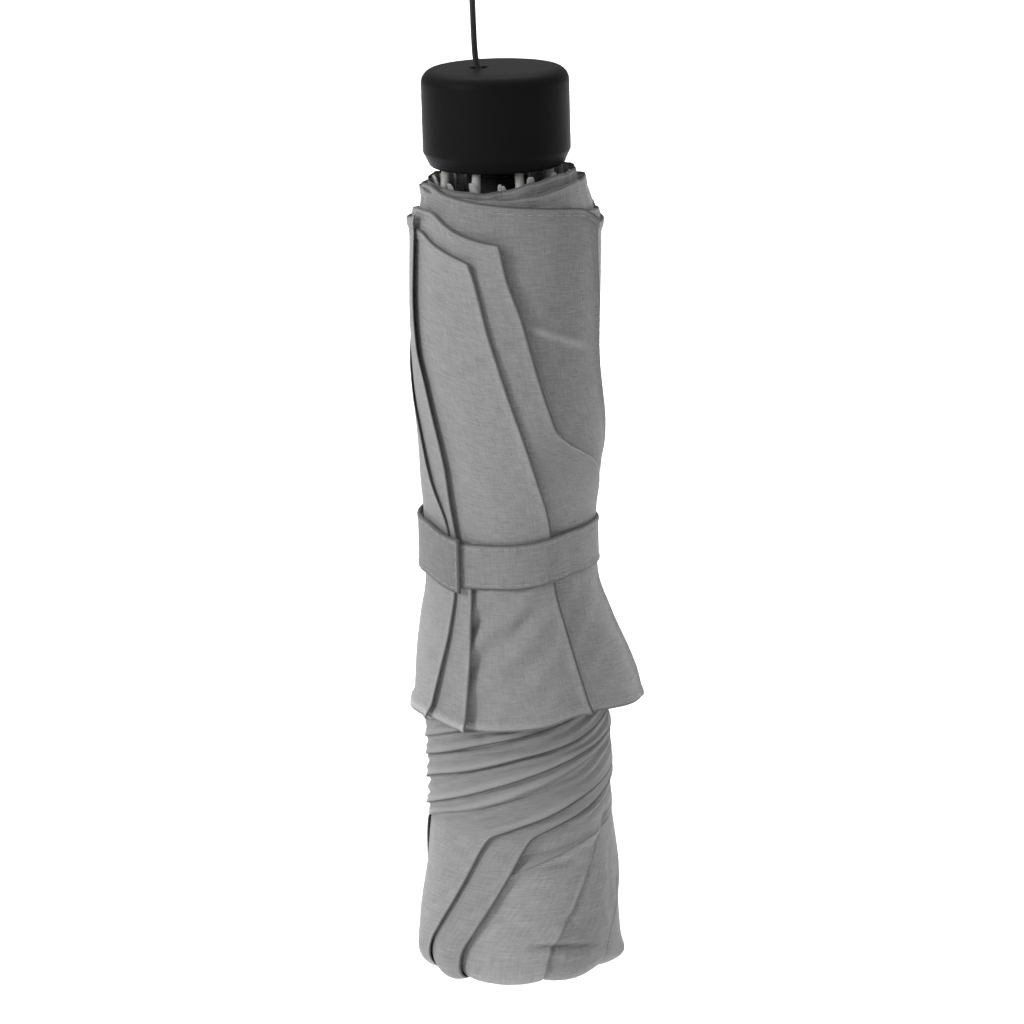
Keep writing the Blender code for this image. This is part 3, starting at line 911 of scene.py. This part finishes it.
def elbow_flap_point(place, elbow, width, back, stand, depth):
    """A point of a lower flap, back degrees behind the place on its free edge, towards the flap over it.

    place is (angle from the elbow, height), stand is how far the edge stands off, and depth how far the flap
    sinks on its way back. Near the elbow it rounds over as a lobe, and further up it is wound, with ripples.
    """
    angle = elbow + place[0] - back
    radius, height = meridian(-place[1])
    low = step(-284, -304, max(place[1], -310))
    lobe = math.sqrt(max(0.0, math.sin(math.pi * min(1.0, max(0.0, (back + 3) / (width + 6))))))
    height += (1.2 + 2.2 * stand) * (1 - lobe) * low
    radius -= (0.9 + stand) * (1 - lobe) * low
    wound = step(40, 66, place[0])
    sink = depth * (1 - wound) + 0.85 * wound
    radius += stand * (1 - 0.72 * wound) - sink * (back / ELBOW_SPAN) ** 0.9
    radius += 0.95 * bundle_shape(angle, height)
    from_edge = arc_length(back)
    radius += (0.30 + 0.2 * stand) * (1 - 0.3 * wound) * bell(from_edge, 1.3 + 2.9 * wound)
    ripple = math.sin(0.62 * from_edge + elbow + 1.8 * crumple(angle, height, (22, 7), elbow / 50))
    uneven = 1 + 1.2 * crumple(angle, height, (14, 30), 1.7)
    radius += 0.24 * wound * ripple * step(2, 9, from_edge) * uneven
    return on_bundle(angle, height, radius)


def elbow_flap_shade(place, from_edge, stand):
    """Painted shade at the free edge and, where the flap is wound, a painted highlight along the fold that it
    stands up in.
    """
    wound = step(40, 66, place[0])
    dark = painted_edge_shade(from_edge * (1 - 0.6 * wound)) * (0.4 + 0.6 * max(0, min(1, 2 * stand)))
    return dark - PAINTED_WOUND_HIGHLIGHT * wound * bell(from_edge - 3.6, 2.6) * (1 - dark)


def edge_places(edge, wander, count):
    """Evenly spaced places along an edge given as (angle, height), straying a little from it as it winds."""
    follow = curve(edge)
    first, last = edge[0][0], edge[-1][0]
    fine = []
    for i in range(901):
        angle = first + (last - first) * i / 900
        stray = 1.1 * step(60, 90, angle) * noise.noise(Vector((angle / 48, wander * 7.3, 0.5)))
        fine.append((angle, follow(angle) + stray))
    run = [0.0]
    for (a0, h0), (a1, h1) in zip(fine, fine[1:]):
        run.append(run[-1] + math.hypot(arc_length(a1 - a0), h1 - h0))
    wanted = np.linspace(0, run[-1], count)
    return list(zip(*(np.interp(wanted, run, values) for values in zip(*fine))))


def make_elbow_flap(name, edge, elbow, width, stand, depth, material, span=ELBOW_SPAN, rows=210):
    backs = [span * share for share in spaced(arc_length(span), 0.14, 0.9, end=False)][::-1]
    places = edge_places(edge, elbow / 10, rows)
    grid = [[elbow_flap_point(place, elbow, width, back, stand, depth) for back in backs] for place in places]
    shades = [[elbow_flap_shade(place, arc_length(back), stand) for back in backs] for place in places]
    declare_sheet(cloth_piece(name, grid, shades, material), grid)


def make_roll(name, top, depth, radius_at, material, turns=1.0):
    """A sheet rolled round the shaft. top gives its rim's height by angle, and radius_at its radius in mm."""
    angles = [-180 + turn for turn in np.linspace(0, 360 * turns, 260)]
    grid, shades = [], []
    for v in spaced(depth, 0.16, 0.9, end=False):
        below = depth * v
        grid.append([on_bundle(a, top(a) - below, radius_at(a, top(a) - below, below)) for a in angles])
        # Painted shade along the top edge of the roll.
        shades.append([0.8 * painted_edge_shade(below)] * len(angles))
    declare_sheet(cloth_piece(name, grid, shades, material), grid)


def make_rim(name, rim_points, radius, material, seed):
    """One inner turn of the roll, whose rim stands up round the rib tips under the handle."""
    rim = curve(rim_points)

    def top(angle):
        return rim(wrapped(angle)) + 0.5 * crumple(angle, 0, (5, 10), seed)

    def radius_at(angle, height, below):
        away = step(30, 90, abs(wrapped(angle - 200)))
        wave = 0.55 * crumple(angle, height, (5, 22), seed + 5) * (0.5 + away)
        return radius + 0.0022 * (angle + 180) + wave + 1.3 * step(0, 9, below) + hem_lift(below)

    make_roll(name, top, 15.0, radius_at, material, turns=1.06)


def make_rims(materials):
    inner = (
        (-180, -95.6), (-110, -95.9), (-79, -96.0), (-46, -96.9), (-15, -97.4), (18, -95.6), (50, -94.1),
        (85, -94.0), (130, -94.6), (180, -95.6),
    )
    middle = (
        (-180, -97.4), (-110, -97.8), (-40, -98.1), (0, -98.4), (40, -97.3), (60, -96.4), (90, -96.3),
        (130, -96.9), (180, -97.4),
    )
    make_rim("roll_inner", inner, 18.2, materials(0.96), 1.0)
    make_rim("roll_middle", middle, 20.4, materials(1.0), 2.0)


def make_mouth_pleats(material):
    """The canopy's hem between and on the rib tips, which shows as a row of pale points under the handle."""
    count, low, high = 16, -102.5, -93.9
    columns = 24 * count
    grid = []
    for v in spaced(10, 0.16, 0.6, end=False):
        row = []
        for i in range(columns + 1):
            angle = 360 * i / columns
            near = 0.5 + 0.5 * math.cos(math.radians(angle) * count)
            tip = Vector((round(angle * count / 360), 3.3, 0.7))
            peak = step(0.5, 0.93, near) * (0.86 + 0.3 * noise.noise(tip))
            top = low + (high - low) * peak
            height = top - (top + 113) * v
            turned = angle + 0.75 * math.sin(math.radians(angle)) * (height + 104)
            row.append(on_bundle(turned, height, 15.6 + 1.2 * near + 0.10 * (height + 104)))
        grid.append(row)
    obj = cloth_piece("mouth_pleats", grid, unshaded(grid), material, thickness=0.0003)
    declare_sheet(obj, grid)


def make_core(materials):
    """The rolled cloth under the flaps, so that no gap shows the frame."""

    def radius_at(angle, height, below):
        outer = min(bundle_radius(height), roll_radius(height)) if height < -220.5 else bundle_radius(height)
        return outer - 3.4 + 0.6 * bundle_shape(angle, height)

    make_roll("roll_core", lambda angle: -108.0, 192.0, radius_at, materials(0.8))


def make_crown(materials):
    """The cloth gathered under the crown, in eight soft pleats round the cap."""
    outer, inner = 21.5, 3.4
    grid = []
    for row in range(30):
        share = row / 29
        points = []
        for angle in range(0, 362, 2):
            pleat = abs(math.sin(math.radians(angle * 4 + 60 * share)))
            height = -304.6 + 1.0 * pleat * math.sin(math.pi * share) - 0.5 * share
            points.append(on_bundle(angle, height, outer - (outer - inner) * share))
        grid.append(points)
    obj = cloth_piece("crown_gather", grid, unshaded(grid), materials(0.95))


STRAP_MIDDLE = (
    (-180, -191.6), (-110, -190.2), (-66, -190.4), (-32, -193.5), (0, -193.7), (45, -191.8), (90, -191.4),
    (140, -191.7), (180, -191.6),
)
STRAP_HALF = 5.9
STRAP_RADIUS = 23.5
STRAP_SEAM = 1.2
TAB_HALF = 7.1
STRAP_ENDS = (-60, 302)
TAB_ENDS = (-122.0, -31.0)
strap_middle = curve(STRAP_MIDDLE)


def outermost_radius():
    """The radius of the outermost cloth under the strap, as an even function of the angle."""
    flaps = [UpperFlap(name, design) for name, design in UPPER_FLAPS.items()]
    pitch = 4
    highest = []
    for angle in range(-180, 180, pitch):
        found = []
        for height in (STRAP_HEIGHT - 6, STRAP_HEIGHT, STRAP_HEIGHT + 6):
            for flap in flaps:
                free = flap.edge(height)
                back = (free - angle) % 360
                if back <= flap.span:
                    found.append(flap.radius(free - back, height, free, height + 50, height - 50))
        highest.append(max(found))
    count = len(highest)
    wide = [max(highest[(i + k) % count] for k in (-1, 0, 1)) for i in range(count)]
    even = [sum(wide[(i + k) % count] for k in (-2, -1, 0, 1, 2)) / 5 for i in range(count)]
    places = [(-180 + pitch * i, even[i % count]) for i in range(count + 1)]
    return curve(places)


def strap_grid(first, last, radius, half, columns):
    """A strap's rows of points, with folded and sewn edges, and painted shade along those edges."""
    rows, shades = [], []
    angles = [first + (last - first) * i / (columns - 1) for i in range(columns)]
    for share in spaced(2 * half, 0.18, 0.7):
        across = 1 - 2 * share
        inset = half * (1 - abs(across))
        sewn = 0.22 * (1 - step(1.3, 1.7, inset))
        sewn -= 0.16 * bell(inset - STRAP_SEAM, 0.3) + 0.35 * bell(inset, 0.3)
        row = []
        for angle in angles:
            height = strap_middle(wrapped(angle)) + across * half
            rumple = 0.12 * crumple(angle, height, (6, 20), 4.4)
            row.append(on_bundle(angle, height, radius(angle) + sewn + rumple))
        rows.append(row)
        shades.append([0.9 * painted_edge_shade(inset)] * columns)
    return rows, shades


def strap_stitches(first, last, radius, half, end_row):
    """The two rows of stitches along a strap, and one across its free end."""
    pitch, length = STITCH_PITCH / MM, STITCH_LENGTH / MM
    for side in (1, -1):
        x = 1.5
        while x < math.radians(last - first) * STRAP_RADIUS - 2:
            ends = []
            for at in (x, x + length):
                angle = last - math.degrees(at / STRAP_RADIUS)
                height = strap_middle(wrapped(angle)) + side * (half - STRAP_SEAM)
                ends.append(on_bundle(angle, height, radius(angle) + 0.35))
            yield *ends, outward(last - math.degrees(x / STRAP_RADIUS))
            x += pitch
    if end_row:
        angle = last - math.degrees(1.3 / STRAP_RADIUS)
        up = -half + 1.4
        while up + length < half - STRAP_SEAM:
            middle = strap_middle(wrapped(angle))
            ends = [on_bundle(angle, middle + at, radius(angle) + 0.38) for at in (up, up + length)]
            yield *ends, outward(angle)
            up += pitch


def make_strap(materials):
    """The band round the bundle, and its wider free end at the left, which peels off."""

    outermost = outermost_radius()

    def band_radius(angle):
        return outermost(wrapped(angle)) + 0.5

    def tab_radius(angle):
        settle = step(TAB_ENDS[0], -100, angle)
        lip = 0.6 * step(-35, TAB_ENDS[1], angle)
        return band_radius(angle) + 0.3 + 0.5 * settle + lip

    rows, shades = strap_grid(*STRAP_ENDS, band_radius, STRAP_HALF, 240)
    band = cloth_piece("strap_band", rows, shades, materials(0.92), thickness=0.0005)
    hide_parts("tie_strap")
    stitches = strap_stitches(*STRAP_ENDS, band_radius, STRAP_HALF, False)
    thread_piece = stitch_piece("strap_stitches", stitches, "canopy_bundle")
    declare_sheet(band, rows)

    rows, shades = strap_grid(*TAB_ENDS, tab_radius, TAB_HALF, 120)
    # Painted shade along the tab's free end.
    for shade in shades:
        shade[-3:] = [0.9] * 3
    # The end's darker tone is painted shade, on the part that faces the key light.
    tab = cloth_piece("strap_end", rows, shades, materials(0.72), body=None, thickness=0.0006)
    stitches = strap_stitches(*TAB_ENDS, tab_radius, TAB_HALF, True)
    thread_piece = stitch_piece("strap_end_stitches", stitches, None)
    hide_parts("strap_tab")
    start, end = on_bundle(-108, STRAP_HEIGHT, MEAN_RADIUS), on_bundle(-86, STRAP_HEIGHT, MEAN_RADIUS)
    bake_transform(tab)
    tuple(start)
    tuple(end)
    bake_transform(thread_piece)
    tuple(start)
    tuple(end)
    declare_sheet(tab, rows)


def make_canopy(materials):
    for name, design in UPPER_FLAPS.items():
        make_upper_flap(name, materials(design["tone"]))
    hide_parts("canopy")
    before = ELBOW_FLAPS[-1][0]
    for index, (elbow, stand, depth, tone) in enumerate(ELBOW_FLAPS):
        width = (elbow - before) % 360
        make_elbow_flap(f"elbow_flap_{index + 1}", ELBOW_EDGE, elbow, width, stand, depth, materials(tone))
        before = elbow
    make_elbow_flap("bag_fold", BAG_FOLD_EDGE, 0, 60, 0.05, 1.6, materials(1.06), span=52, rows=110)
    make_rims(materials)
    # The pleats' paler tone is a painted highlight on the points under the handle.
    make_mouth_pleats(materials(1.5))
    make_core(materials)
    make_crown(materials)


# ---------------------------------------------------------------- the carried-over CAD nodes


def finish_cad_nodes(plastic, pale, metal, cord_finish):
    """Gives the CAD pieces that stay their own materials, with round faces shaded smooth."""
    for name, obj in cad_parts.items():
        if name.startswith("rib_tip"):
            material = pale
        elif name in ("handle_hub", "tube_plug", "runner", "top_notch", "crown_cap"):
            material = plastic
        elif name == "cord_knot":
            material = cord_finish
        else:
            material = metal
        obj.data.materials.clear()
        obj.data.materials.append(material)
        weld = obj.modifiers.new("weld", "WELD")
        weld.merge_threshold = 0.000002
        obj.data.shade_smooth()
        obj.data.set_sharp_from_angle(angle=math.radians(35))


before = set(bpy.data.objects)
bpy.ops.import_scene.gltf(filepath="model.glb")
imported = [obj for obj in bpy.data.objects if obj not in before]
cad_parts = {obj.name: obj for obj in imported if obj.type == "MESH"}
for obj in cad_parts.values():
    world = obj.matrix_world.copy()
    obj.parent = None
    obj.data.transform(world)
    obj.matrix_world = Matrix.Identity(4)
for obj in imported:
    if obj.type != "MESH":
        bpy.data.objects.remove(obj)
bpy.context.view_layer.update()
tube_low, tube_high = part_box("upper_tube")
AXIS_X = (tube_low.x + tube_high.x) / 2

add_camera()
add_stage()

black_cord = cord_material("black_braid", (0.012, 0.012, 0.013))
make_cord(black_cord)

thread = cloth_material("thread", (0.46, 0.46, 0.46))
fabrics = {}


def grey_fabric(tone):
    if tone not in fabrics:
        fabrics[tone] = cloth_material(f"grey_fabric_{len(fabrics) + 1}", GREY, tone)
    return fabrics[tone]


make_handle(moulded_material("black_plastic", (0.0085, 0.0085, 0.009), 0.5, gloss=0.07))
finish_cad_nodes(
    moulded_material("frame_plastic", (0.020, 0.020, 0.022), 0.5),
    moulded_material("pale_plastic", (0.62, 0.63, 0.60), 0.38, grain=0.1),
    metal_material("drawn_steel", (0.58, 0.58, 0.59), 0.30),
    black_cord,
)
make_canopy(grey_fabric)
make_strap(grey_fabric)
